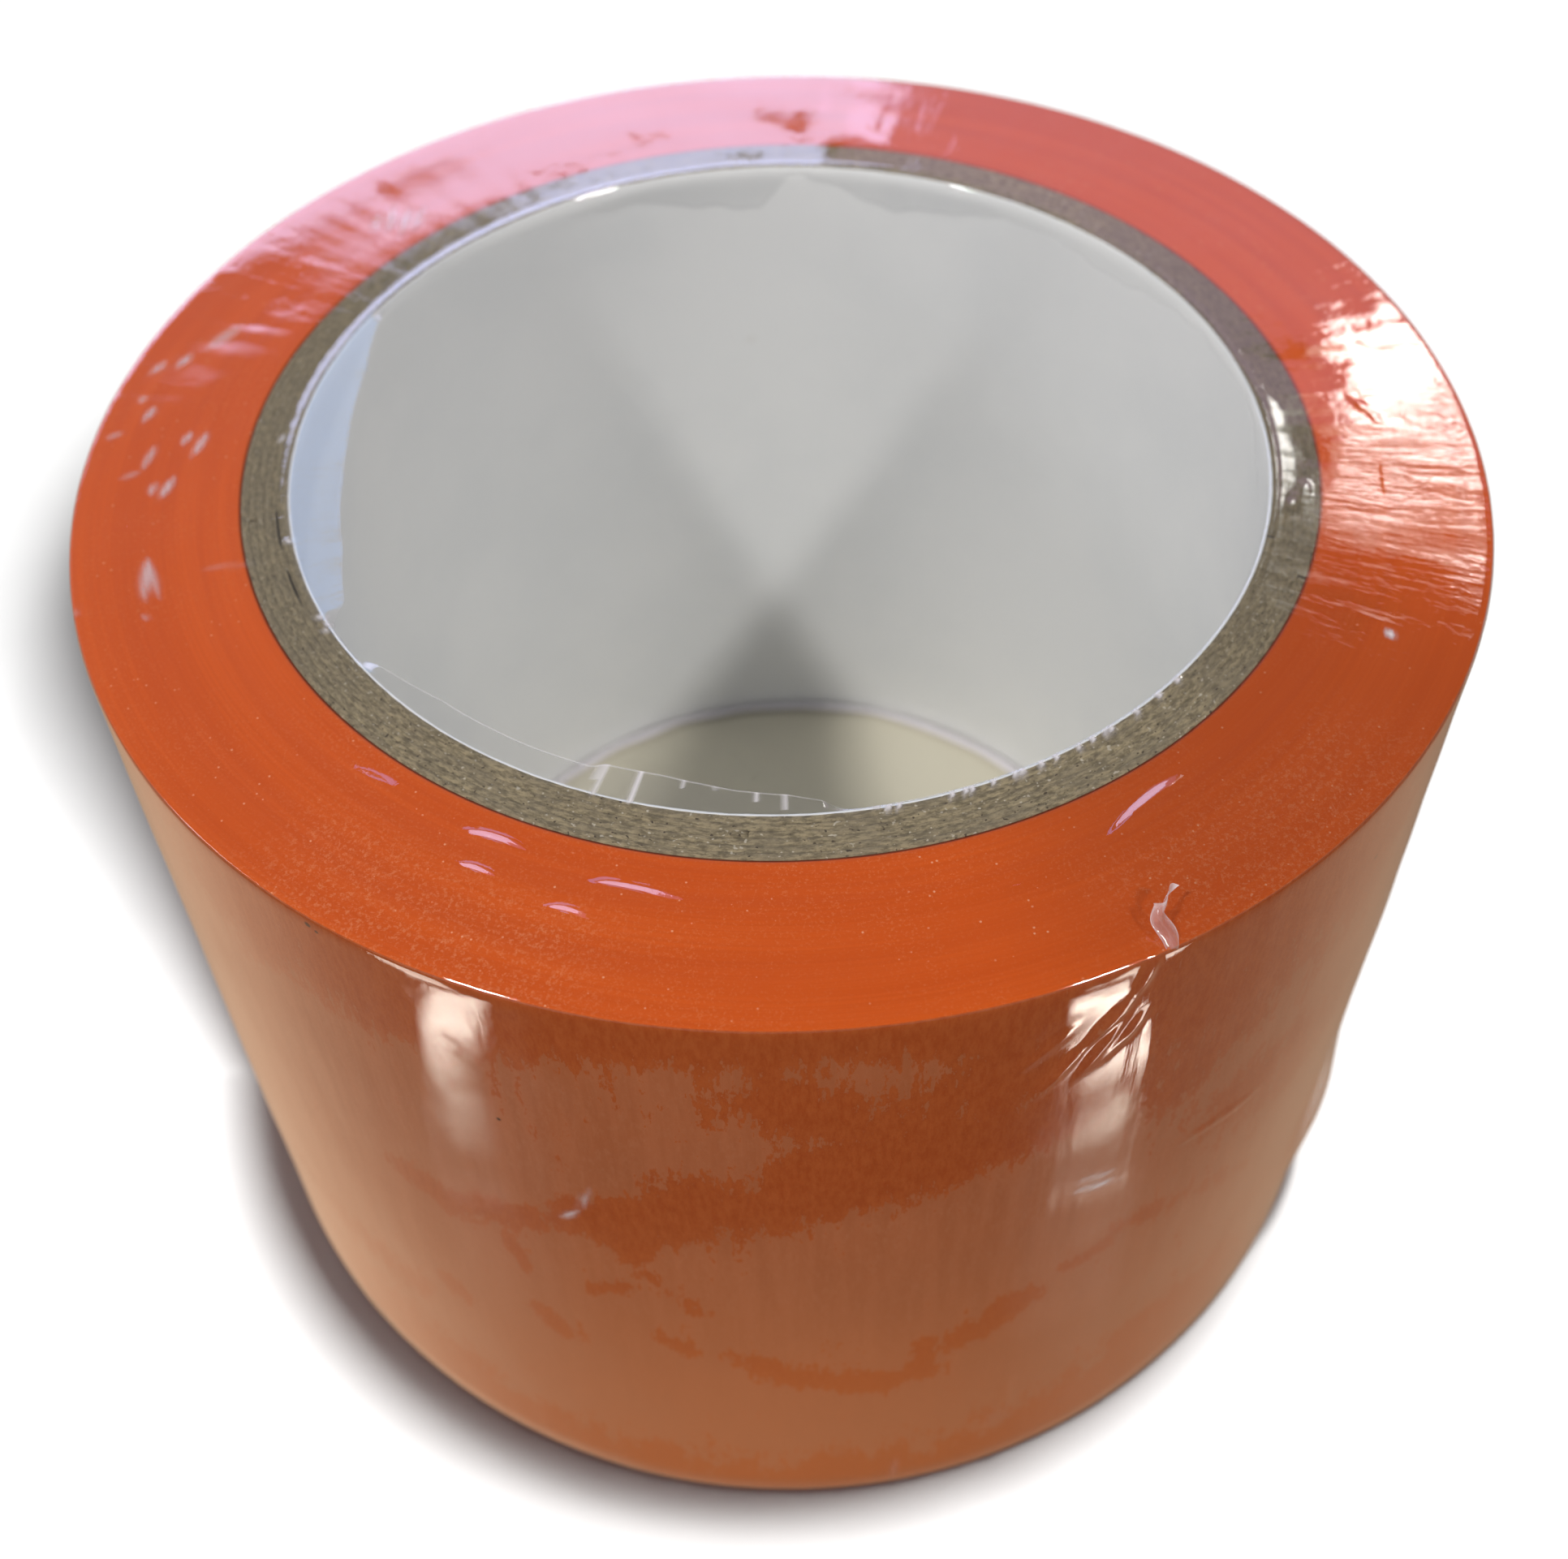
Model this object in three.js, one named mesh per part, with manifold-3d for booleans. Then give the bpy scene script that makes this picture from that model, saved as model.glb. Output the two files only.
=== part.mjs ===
// A roll of wide adhesive tape on a spiral-wound paper core, sealed in clear shrink film.
// Millimetres. The bore runs along Z, and the roll stands on z = 0.
import * as THREE from "three";
import { mergeVertices } from "three/addons/utils/BufferGeometryUtils.js";
import Module from "manifold-3d";

const wasm = await Module();
wasm.setup();

// Driving dimensions.
const BORE_DIAMETER = 76.2; // the standard three-inch core
const CORE_WALL = 3.7;
const LINER_THICKNESS = 0.14;
const PLY_COUNT = 6;
const GLUE_LINE = 0.03; // left open between one layer of the core and the next
const PLY_SEAM = 0.4; // gap between the two edges of a wound ply
const PLY_LEAD = 137; // height that a ply climbs in one turn
const LINER_SEAM_ANGLE = THREE.MathUtils.degToRad(170); // where the liner's joint starts at the bottom
const SEAM_STAGGER = THREE.MathUtils.degToRad(143); // keeps the joints of neighbouring layers apart
const TAPE_WIDTH = 75;
const TAPE_DIAMETER = 108.9;
const TAPE_THICKNESS = 0.116;
const TAPE_END_ANGLE = THREE.MathUtils.degToRad(115); // where the free end lies
const FILM_THICKNESS = 0.1;
const FILM_SLACK = 0.05; // air between the film and what it wraps
const FILM_LIP = 4; // how far the film turns down into the bore
const EAR_ANGLE = THREE.MathUtils.degToRad(-66); // where the film is pinched into an ear
const EAR_WIDTH = 2.6;
const EAR_HEIGHT = 4.2;
const EAR_THICKNESS = 0.25;
const EAR_LEAN = THREE.MathUtils.degToRad(52); // from upright, towards the bore
const EAR_NOTCH = 0.2; // how far the ear's torn tip dips, as a share of its height
const FACETS = 96; // around every round piece
const SEAM_STEPS = 28; // along the helix of a core seam
const MERGE_DISTANCE = 1e-4;

// Worked out from the driving dimensions.
const boreRadius = BORE_DIAMETER / 2;
const coreRadius = boreRadius + CORE_WALL;
const tapeRadius = TAPE_DIAMETER / 2;
const tapeBottom = FILM_THICKNESS + FILM_SLACK;
const tapeTop = tapeBottom + TAPE_WIDTH;
const filmTop = tapeTop + FILM_SLACK + FILM_THICKNESS;
const filmRadius = tapeRadius + FILM_SLACK + FILM_THICKNESS;
const pliesInner = boreRadius + LINER_THICKNESS + GLUE_LINE;
const plyPitch = (coreRadius - pliesInner) / PLY_COUNT;
const plyThickness = plyPitch - GLUE_LINE;

function material(color, roughness, options = {}) {
  return new THREE.MeshStandardMaterial({ color, roughness, metalness: 0, ...options });
}

const whitePaper = material(0xd3d4d3, 0.85);
const kraftBoard = material(0x746853, 0.9);
const orangeTape = material(0xd9551d, 0.35);
const clearFilm = material(0xf2eef4, 0.08, { transparent: true, opacity: 0.18 });

// Turns a closed profile of [radius, height] corners about Z.
function revolve(corners) {
  const profile = [...corners, corners[0]].map(([radius, height]) => new THREE.Vector2(radius, height));
  return new THREE.LatheGeometry(profile, FACETS).rotateX(Math.PI / 2);
}

function tube(innerRadius, outerRadius, bottom, top) {
  return revolve([
    [innerRadius, bottom],
    [outerRadius, bottom],
    [outerRadius, top],
    [innerRadius, top],
  ]);
}

function toSolid(geometry) {
  const bare = geometry.index ? geometry.toNonIndexed() : geometry.clone();
  bare.deleteAttribute("normal");
  bare.deleteAttribute("uv");
  const merged = mergeVertices(bare, MERGE_DISTANCE);
  const vertProperties = merged.attributes.position.array;
  const triVerts = new Uint32Array(merged.index.array);
  return new wasm.Manifold(new wasm.Mesh({ numProp: 3, vertProperties, triVerts }));
}

function toGeometry(solid) {
  const mesh = solid.getMesh();
  const geometry = new THREE.BufferGeometry();
  geometry.setAttribute("position", new THREE.BufferAttribute(mesh.vertProperties, mesh.numProp));
  geometry.setIndex(new THREE.BufferAttribute(mesh.triVerts, 1));
  geometry.computeVertexNormals();
  return geometry;
}

// Joins rings of equally many corners, each ring anticlockwise seen from the ring after it.
function loft(rings) {
  const size = rings[0].length;
  const triangles = [];
  const quad = (a, b, c, d) => triangles.push(a, b, c, a, c, d);
  for (let ring = 1; ring < rings.length; ring += 1) {
    for (let corner = 0; corner < size; corner += 1) {
      const next = (corner + 1) % size;
      const below = (ring - 1) * size;
      const above = ring * size;
      quad(below + corner, below + next, above + next, above + corner);
    }
  }
  const last = (rings.length - 1) * size;
  for (let corner = 1; corner < size - 1; corner += 1) {
    triangles.push(0, corner + 1, corner);
    triangles.push(last, last + corner, last + corner + 1);
  }
  const geometry = new THREE.BufferGeometry();
  geometry.setAttribute("position", new THREE.Float32BufferAttribute(rings.flat(2), 3));
  geometry.setIndex(triangles);
  return geometry;
}

// A thin blade that climbs round the core as the butt joint of a wound ply does.
function seamBlade(innerRadius, outerRadius, startAngle) {
  const overrun = 1; // past the ply on every side, so that the cut is clean
  const halfWidth = PLY_SEAM / 2;
  const bottom = tapeBottom - overrun;
  const climb = TAPE_WIDTH + 2 * overrun;
  const rings = [];
  for (let step = 0; step <= SEAM_STEPS; step += 1) {
    const height = bottom + (climb * step) / SEAM_STEPS;
    const angle = startAngle + (2 * Math.PI * height) / PLY_LEAD;
    const corner = (radius, across) => [
      radius * Math.cos(angle) - across * Math.sin(angle),
      radius * Math.sin(angle) + across * Math.cos(angle),
      height,
    ];
    rings.push([
      corner(innerRadius - overrun, -halfWidth),
      corner(outerRadius + overrun, -halfWidth),
      corner(outerRadius + overrun, halfWidth),
      corner(innerRadius - overrun, halfWidth),
    ]);
  }
  return loft(rings);
}

// One layer of the core: a strip wound in a helix, whose edges almost meet.
function woundPly(name, innerRadius, thickness, startAngle, finish) {
  const outerRadius = innerRadius + thickness;
  const wall = toSolid(tube(innerRadius, outerRadius, tapeBottom, tapeTop));
  const seam = toSolid(seamBlade(innerRadius, outerRadius, startAngle));
  const mesh = new THREE.Mesh(toGeometry(wall.subtract(seam)), finish);
  mesh.name = name;
  return mesh;
}

function paperCore() {
  const core = new THREE.Group();
  core.add(woundPly("core_liner", boreRadius, LINER_THICKNESS, LINER_SEAM_ANGLE, whitePaper));
  for (let ply = 1; ply <= PLY_COUNT; ply += 1) {
    const innerRadius = pliesInner + (ply - 1) * plyPitch;
    core.add(woundPly(`core_ply_${ply}`, innerRadius, plyThickness, ply * SEAM_STAGGER, kraftBoard));
  }
  return core;
}

// The tape is one strip, so its outline is a spiral that steps in by one thickness at the free end.
function woundTape() {
  const outline = new THREE.Shape();
  for (let facet = 0; facet <= FACETS; facet += 1) {
    const turn = facet / FACETS;
    const radius = tapeRadius - TAPE_THICKNESS * turn;
    const angle = TAPE_END_ANGLE + 2 * Math.PI * turn;
    const point = [radius * Math.cos(angle), radius * Math.sin(angle)];
    if (facet === 0) outline.moveTo(...point);
    else outline.lineTo(...point);
  }
  const hole = new THREE.Path();
  for (let facet = 0; facet < FACETS; facet += 1) {
    const angle = (-2 * Math.PI * facet) / FACETS;
    const radius = coreRadius + GLUE_LINE;
    const point = [radius * Math.cos(angle), radius * Math.sin(angle)];
    if (facet === 0) hole.moveTo(...point);
    else hole.lineTo(...point);
  }
  outline.holes.push(hole);
  const geometry = new THREE.ExtrudeGeometry(outline, { depth: TAPE_WIDTH, bevelEnabled: false });
  const mesh = new THREE.Mesh(geometry, orangeTape);
  mesh.name = "wound_tape";
  mesh.position.z = tapeBottom;
  return mesh;
}

// The sleeve's cross-section is a C that wraps the outside, both end faces and the bore's edges.
function filmSleeve() {
  const outerInside = tapeRadius + FILM_SLACK;
  const boreOutside = boreRadius - FILM_SLACK;
  const boreInside = boreOutside - FILM_THICKNESS;
  const lowerInside = FILM_THICKNESS;
  const upperInside = filmTop - FILM_THICKNESS;
  return revolve([
    [boreInside, 0],
    [filmRadius, 0],
    [filmRadius, filmTop],
    [boreInside, filmTop],
    [boreInside, filmTop - FILM_LIP],
    [boreOutside, filmTop - FILM_LIP],
    [boreOutside, upperInside],
    [outerInside, upperInside],
    [outerInside, lowerInside],
    [boreOutside, lowerInside],
    [boreOutside, FILM_LIP],
    [boreInside, FILM_LIP],
  ]);
}

// Slack film pinched flat: a leaf that stands on the rim and leans over the end face.
function filmEar() {
  const half = EAR_WIDTH / 2;
  const middle = EAR_HEIGHT / 2;
  const notch = EAR_HEIGHT * (1 - EAR_NOTCH);
  const shortSide = (EAR_HEIGHT + notch) / 2;
  const leaf = new THREE.Shape();
  leaf.moveTo(-half / 2, 0);
  leaf.lineTo(half / 2, 0);
  leaf.quadraticCurveTo(half, middle, half, EAR_HEIGHT);
  leaf.quadraticCurveTo(0, notch, -half, shortSide);
  leaf.quadraticCurveTo(-half / 2, middle, -half / 2, 0);
  const options = { depth: EAR_THICKNESS, bevelEnabled: false, curveSegments: 6 };
  const geometry = new THREE.ExtrudeGeometry(leaf, options);
  geometry.rotateX(Math.PI / 2 + EAR_LEAN);
  geometry.rotateZ(EAR_ANGLE - Math.PI / 2);
  const rootRadius = filmRadius - 2 * EAR_THICKNESS;
  const rootHeight = filmTop - FILM_THICKNESS / 2 + EAR_THICKNESS * Math.sin(EAR_LEAN);
  return geometry.translate(rootRadius * Math.cos(EAR_ANGLE), rootRadius * Math.sin(EAR_ANGLE), rootHeight);
}

function shrinkFilm() {
  const joined = toSolid(filmSleeve()).add(toSolid(filmEar()));
  const mesh = new THREE.Mesh(toGeometry(joined), clearFilm);
  mesh.name = "shrink_film";
  return mesh;
}

const roll = new THREE.Group();
roll.add(paperCore(), woundTape(), shrinkFilm());

export default roll;
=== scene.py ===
import math

import bpy
import numpy as np
from mathutils import Matrix, Vector


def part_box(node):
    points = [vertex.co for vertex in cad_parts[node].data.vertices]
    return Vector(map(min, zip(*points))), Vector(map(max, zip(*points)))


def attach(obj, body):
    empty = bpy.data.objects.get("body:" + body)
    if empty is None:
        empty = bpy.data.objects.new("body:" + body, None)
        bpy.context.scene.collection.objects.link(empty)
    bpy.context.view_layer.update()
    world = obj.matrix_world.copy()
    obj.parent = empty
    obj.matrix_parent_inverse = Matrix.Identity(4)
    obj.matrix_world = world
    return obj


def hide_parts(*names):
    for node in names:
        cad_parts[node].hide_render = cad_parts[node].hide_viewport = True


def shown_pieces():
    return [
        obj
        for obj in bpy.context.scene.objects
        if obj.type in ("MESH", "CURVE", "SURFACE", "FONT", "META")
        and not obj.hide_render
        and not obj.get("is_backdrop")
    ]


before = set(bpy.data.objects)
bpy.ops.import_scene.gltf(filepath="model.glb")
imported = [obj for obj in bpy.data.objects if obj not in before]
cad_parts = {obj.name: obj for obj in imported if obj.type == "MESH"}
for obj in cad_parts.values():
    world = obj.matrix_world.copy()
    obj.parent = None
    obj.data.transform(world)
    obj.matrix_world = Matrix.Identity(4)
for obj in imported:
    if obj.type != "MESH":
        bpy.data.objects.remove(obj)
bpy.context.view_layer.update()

MM = 0.001
BODY = "root"


def radii(node):
    """Smallest and largest distance of a CAD node's corners from the bore's axis."""
    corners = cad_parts[node].data.vertices
    distances = [math.hypot(corner.co.x, corner.co.y) / MM for corner in corners]
    return min(distances), max(distances)


PLIES = ["core_liner"] + [f"core_ply_{number}" for number in range(1, 7)]
BORE = radii("core_liner")[0]
CORE = radii("core_ply_6")[1]
TAPE = radii("wound_tape")[1]
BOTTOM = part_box("wound_tape")[0].z / MM
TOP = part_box("wound_tape")[1].z / MM
SLACK = 0.05  # air between the film and what it wraps
GLUE_LINE = 0.03  # between the core and the tape
PLY_LEAD = 137  # height that a core ply climbs in one turn
PLY_SPREAD = 0.024  # how far each ply swells outwards, to fill most of its glue line
LINER_SEAM = 170  # where the liner's joint starts at the bottom
SEAM_STAGGER = 143  # from the seam of one ply to the next
TAPE_END = 115  # where the tape's free end lies
TAPE_THICKNESS = 0.116
EAR = -64.8  # where the film is pinched into an ear
LIP = 4  # height of the film's lips in its profile, before they are bent
FLAP_ROOT = 0.37  # from the film in the bore to where the flap begins
FLOOR_SPLIT = 191  # azimuth of the line where the floor's two halves meet


# Mesh building

def circle(azimuth):
    """Unit vectors at these azimuths, in the plane of the end faces."""
    turn = np.radians(azimuth)
    return np.cos(turn), np.sin(turn)


def around(count, crowds=()):
    """Azimuths of the seams of a ring mesh, closer together near the (azimuth, width) pairs in crowds."""
    crowding = 1.3  # how many more seams there are in the middle of a crowd, for each one elsewhere
    even = np.linspace(0, 1, count, endpoint=False)
    fine = np.linspace(-180, 180, 20 * count)
    density = np.ones(len(fine))
    for crowd, width in crowds:
        distance = (fine - crowd + 180) % 360 - 180
        density += crowding * np.exp(-((distance / width) ** 2))
    return np.interp(even, np.cumsum(density) / density.sum(), fine)


def ring_mesh(name, points, closed):
    """A mesh from points[around, along, xyz] that closes round the axis, and along the profile if closed."""
    turns, steps = points.shape[:2]
    index = np.arange(turns * steps).reshape(turns, steps)
    beside = np.roll(index, -1, axis=0)
    if closed:
        corners = (index, beside, np.roll(beside, -1, axis=1), np.roll(index, -1, axis=1))
    else:
        corners = (index[:, :-1], beside[:, :-1], beside[:, 1:], index[:, 1:])
    quads = np.stack(corners, axis=-1).reshape(-1, 4)
    return mesh_piece(name, points.reshape(-1, 3), quads)


def mesh_piece(name, points, faces):
    mesh = bpy.data.meshes.new(name)
    mesh.from_pydata((np.asarray(points) * MM).tolist(), [], np.asarray(faces).tolist())
    mesh.polygons.foreach_set("use_smooth", [True] * len(mesh.polygons))
    mesh.update()
    piece = bpy.data.objects.new(name, mesh)
    bpy.context.scene.collection.objects.link(piece)
    return piece


def point_value(piece, name, values):
    """Stores one number per point, for a material to read."""
    attribute = piece.data.attributes.new(name, "FLOAT", "POINT")
    attribute.data.foreach_set("value", np.asarray(values, np.float32).ravel())


def waves(azimuth, along, seed, count, turns, length):
    """Smooth noise between about -1 and 1 that closes round the axis.

    turns is the largest number of waves round the roll and length the shortest wave along the profile."""
    rng = np.random.default_rng(seed)
    total = np.zeros(np.broadcast(azimuth, along).shape)
    for _ in range(count):
        whole_turns = rng.integers(0, turns + 1)
        pitch = rng.uniform(-1, 1) / length
        phase = rng.uniform(0, 2 * math.pi)
        total += np.cos(np.radians(azimuth) * whole_turns + 2 * math.pi * pitch * along + phase)
    return total / math.sqrt(count)


def fillet(centre, radius, start, stop, steps):
    """Points and outward normals of a rounded corner in the (radius, height) plane."""
    angles = np.radians(np.linspace(start, stop, steps))
    normals = np.stack([np.cos(angles), np.sin(angles)], axis=-1)
    return np.asarray(centre) + radius * normals, normals


# Node helpers

class Nodes:
    """A material's node tree, with short calls for the nodes used here."""

    def __init__(self, name):
        self.material = bpy.data.materials.new(name)
        self.material.use_nodes = True
        self.tree = self.material.node_tree
        self.tree.nodes.clear()
        self.place = self.add("ShaderNodeTexCoord").outputs["Object"]

    def add(self, kind, **settings):
        node = self.tree.nodes.new(kind)
        for name, value in settings.items():
            setattr(node, name, value)
        return node

    def feed(self, socket, value):
        if isinstance(value, bpy.types.NodeSocket):
            self.tree.links.new(value, socket)
        else:
            socket.default_value = value

    def math(self, operation, first, second=0.0, clamp=False):
        node = self.add("ShaderNodeMath", operation=operation, use_clamp=clamp)
        self.feed(node.inputs[0], first)
        self.feed(node.inputs[1], second)
        return node.outputs[0]

    def ramp(self, value, low, high, out_low=0.0, out_high=1.0):
        """A smooth step from out_low to out_high as value goes from low to high."""
        node = self.add("ShaderNodeMapRange", interpolation_type="SMOOTHSTEP")
        for socket, item in zip(node.inputs, (value, low, high, out_low, out_high)):
            self.feed(socket, item)
        return node.outputs[0]

    def stretch(self, x, y, z):
        """Object coordinates, in metres, times a factor per axis."""
        node = self.add("ShaderNodeVectorMath", operation="MULTIPLY")
        self.feed(node.inputs[0], self.place)
        node.inputs[1].default_value = (x, y, z)
        return node.outputs[0]

    def noise(self, vector, scale=1.0, detail=3.0, roughness=0.5):
        node = self.add("ShaderNodeTexNoise")
        self.feed(node.inputs["Vector"], vector)
        node.inputs["Scale"].default_value = scale
        node.inputs["Detail"].default_value = detail
        node.inputs["Roughness"].default_value = roughness
        return node.outputs["Fac"]

    def specks(self, vector, scale, size):
        """Small round dots, one in each cell of a scattered grid."""
        node = self.add("ShaderNodeTexVoronoi")
        self.feed(node.inputs["Vector"], vector)
        node.inputs["Scale"].default_value = scale
        return self.ramp(node.outputs["Distance"], size, size / 2)

    def near(self, place, size):
        """One within size millimetres of a place, fading to zero at twice that."""
        node = self.add("ShaderNodeVectorMath", operation="DISTANCE")
        self.feed(node.inputs[0], self.place)
        node.inputs[1].default_value = [float(part) * MM for part in place]
        return self.ramp(node.outputs["Value"], 2 * size * MM, size * MM)

    def mix(self, share, first, second):
        node = self.add("ShaderNodeMix", data_type="RGBA")
        self.feed(node.inputs["Factor"], share)
        self.feed(node.inputs["A"], first)
        self.feed(node.inputs["B"], second)
        return node.outputs["Result"]

    def attribute(self, name):
        return self.add("ShaderNodeAttribute", attribute_name=name).outputs["Fac"]

    def polar(self):
        """Sockets: distance from the axis and height in metres, then cosine and sine of the azimuth."""
        axes = self.add("ShaderNodeSeparateXYZ")
        self.feed(axes.inputs[0], self.place)
        x, y, z = axes.outputs
        squares = self.math("ADD", self.math("MULTIPLY", x, x), self.math("MULTIPLY", y, y))
        radius = self.math("SQRT", squares)
        return radius, z, self.math("DIVIDE", x, radius), self.math("DIVIDE", y, radius)

    def towards(self, azimuth):
        """Cosine of the angle between here and an azimuth, seen from the axis."""
        x, y = circle(azimuth)
        cosine, sine = self.polar()[2:]
        along_x = self.math("MULTIPLY", cosine, float(x))
        along_y = self.math("MULTIPLY", sine, float(y))
        return self.math("ADD", along_x, along_y)

    def wound(self, arc, across):
        """A place for noise that follows the winding: scaled by arc along it, by across over it."""
        radius, height, cosine, sine = self.polar()
        over = self.math("MULTIPLY", self.math("ADD", radius, height), across)
        return self.join(self.math("MULTIPLY", cosine, arc), self.math("MULTIPLY", sine, arc), over)

    def join(self, x, y, z):
        node = self.add("ShaderNodeCombineXYZ")
        for socket, value in zip(node.inputs, (x, y, z)):
            self.feed(socket, value)
        return node.outputs[0]

    def bump(self, height, strength, distance):
        node = self.add("ShaderNodeBump")
        self.feed(node.inputs["Height"], height)
        node.inputs["Strength"].default_value = strength
        node.inputs["Distance"].default_value = distance
        return node.outputs["Normal"]

    def principled(self, **inputs):
        node = self.add("ShaderNodeBsdfPrincipled")
        for name, value in inputs.items():
            self.feed(node.inputs[name.replace("_", " ")], value)
        return node.outputs["BSDF"]

    def finish(self, surface):
        output = self.add("ShaderNodeOutputMaterial")
        self.feed(output.inputs["Surface"], surface)
        return self.material


# Materials. Colours are linear.

def white_paper():
    """Matte liner paper: faintly cloudy and fibrous, with a few pale stains."""
    n = Nodes("white_paper")
    cloud = n.noise(n.stretch(1, 1, 1), scale=60, detail=4)
    fibre = n.noise(n.stretch(1, 1, 0.35), scale=1800, detail=2)
    stain = n.noise(n.stretch(1, 1, 1.6), scale=95, detail=2)
    colour = n.mix(n.ramp(cloud, 0.35, 0.7), (0.80, 0.80, 0.79, 1), (0.76, 0.765, 0.76, 1))
    colour = n.mix(n.ramp(stain, 0.74, 0.80, 0, 0.35), colour, (0.60, 0.55, 0.47, 1))
    height = n.math("ADD", n.math("MULTIPLY", fibre, 0.4), cloud)
    normal = n.bump(height, 0.12, 0.0002)
    rough = n.ramp(fibre, 0.3, 0.7, 0.55, 0.75)
    return n.finish(n.principled(Base_Color=colour, Roughness=rough, Normal=normal))


def kraft_board():
    """Grey-brown recycled board: short fibres that follow the winding, dark specks and pale fibres."""
    n = Nodes("kraft_board")
    fibre = n.noise(n.wound(0.014, 1.0), scale=4200, detail=4, roughness=0.7)
    clump = n.noise(n.wound(0.02, 1.0), scale=650, detail=3)
    speck = n.noise(n.wound(0.03, 1.0), scale=3600, detail=1)
    colour = n.mix(n.ramp(fibre, 0.34, 0.66), (0.145, 0.117, 0.070, 1), (0.375, 0.308, 0.19, 1))
    colour = n.mix(n.ramp(clump, 0.35, 0.7, 0, 0.45), colour, (0.21, 0.175, 0.12, 1))
    colour = n.mix(n.ramp(speck, 0.68, 0.74), colour, (0.07, 0.052, 0.034, 1))
    colour = n.mix(n.ramp(speck, 0.32, 0.26), colour, (0.5, 0.45, 0.36, 1))
    radius, _, cosine, _ = n.polar()
    # Painted shade: the board is darker towards the right. It is also darker towards the left.
    colour = n.mix(n.ramp(cosine, 0.6, 1.0, 0, 0.5), colour, (0.10, 0.08, 0.052, 1))
    colour = n.mix(n.ramp(cosine, -0.6, -0.9, 0, 0.4), colour, (0.17, 0.145, 0.10, 1))
    # On the left a glue line has opened in places.
    off_line = n.math("ABSOLUTE", n.math("SUBTRACT", radius, (BORE + 1.05) * MM))
    opened = n.math("MULTIPLY", n.ramp(off_line, 0.00013, 0.00005), n.ramp(n.towards(-162), 0.985, 0.993))
    opened = n.math("MULTIPLY", opened, n.ramp(clump, 0.40, 0.48))
    colour = n.mix(opened, colour, (0.02, 0.016, 0.012, 1))
    normal = n.bump(fibre, 0.6, 0.00015)
    return n.finish(n.principled(Base_Color=colour, Roughness=0.9, Normal=normal))


DIRT = [  # dark specks on the tape: azimuth, height, size
    (-123.9, 74.1, 0.16),
    (-123.2, 73.8, 0.10),
    (-111.3, 59.2, 0.12),
    (-42.0, 66.6, 0.14),
]


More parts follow.
